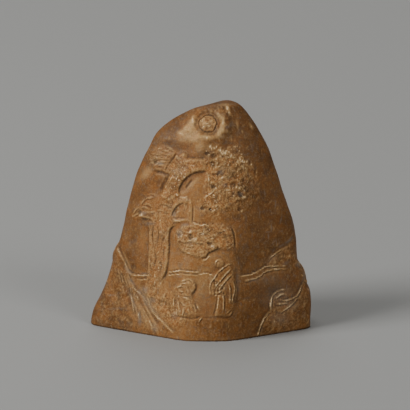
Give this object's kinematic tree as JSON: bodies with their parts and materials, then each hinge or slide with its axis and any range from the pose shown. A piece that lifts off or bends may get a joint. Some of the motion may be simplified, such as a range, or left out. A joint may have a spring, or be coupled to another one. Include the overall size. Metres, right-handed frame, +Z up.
{
  "type": "carved soapstone seal",
  "caption": "Boulder-shaped soapstone seal with a pine, figures, rocks and a sun in low relief and a flat seal face below.",
  "frame": {"origin": "middle of the stone's bounding box at the level of its flat underside", "axes": "+Z up to the summit, the carved front faces -Y, +X to the right of someone who looks at the front"},
  "size_m": [0.0513, 0.0282, 0.0531],
  "materials": {
    "soapstone": "hand-rubbed, slightly waxy, honey brown"
  },
  "bodies": {
    "root": {"SEAL_STONE": "soapstone"}
  },
  "joints": []
}
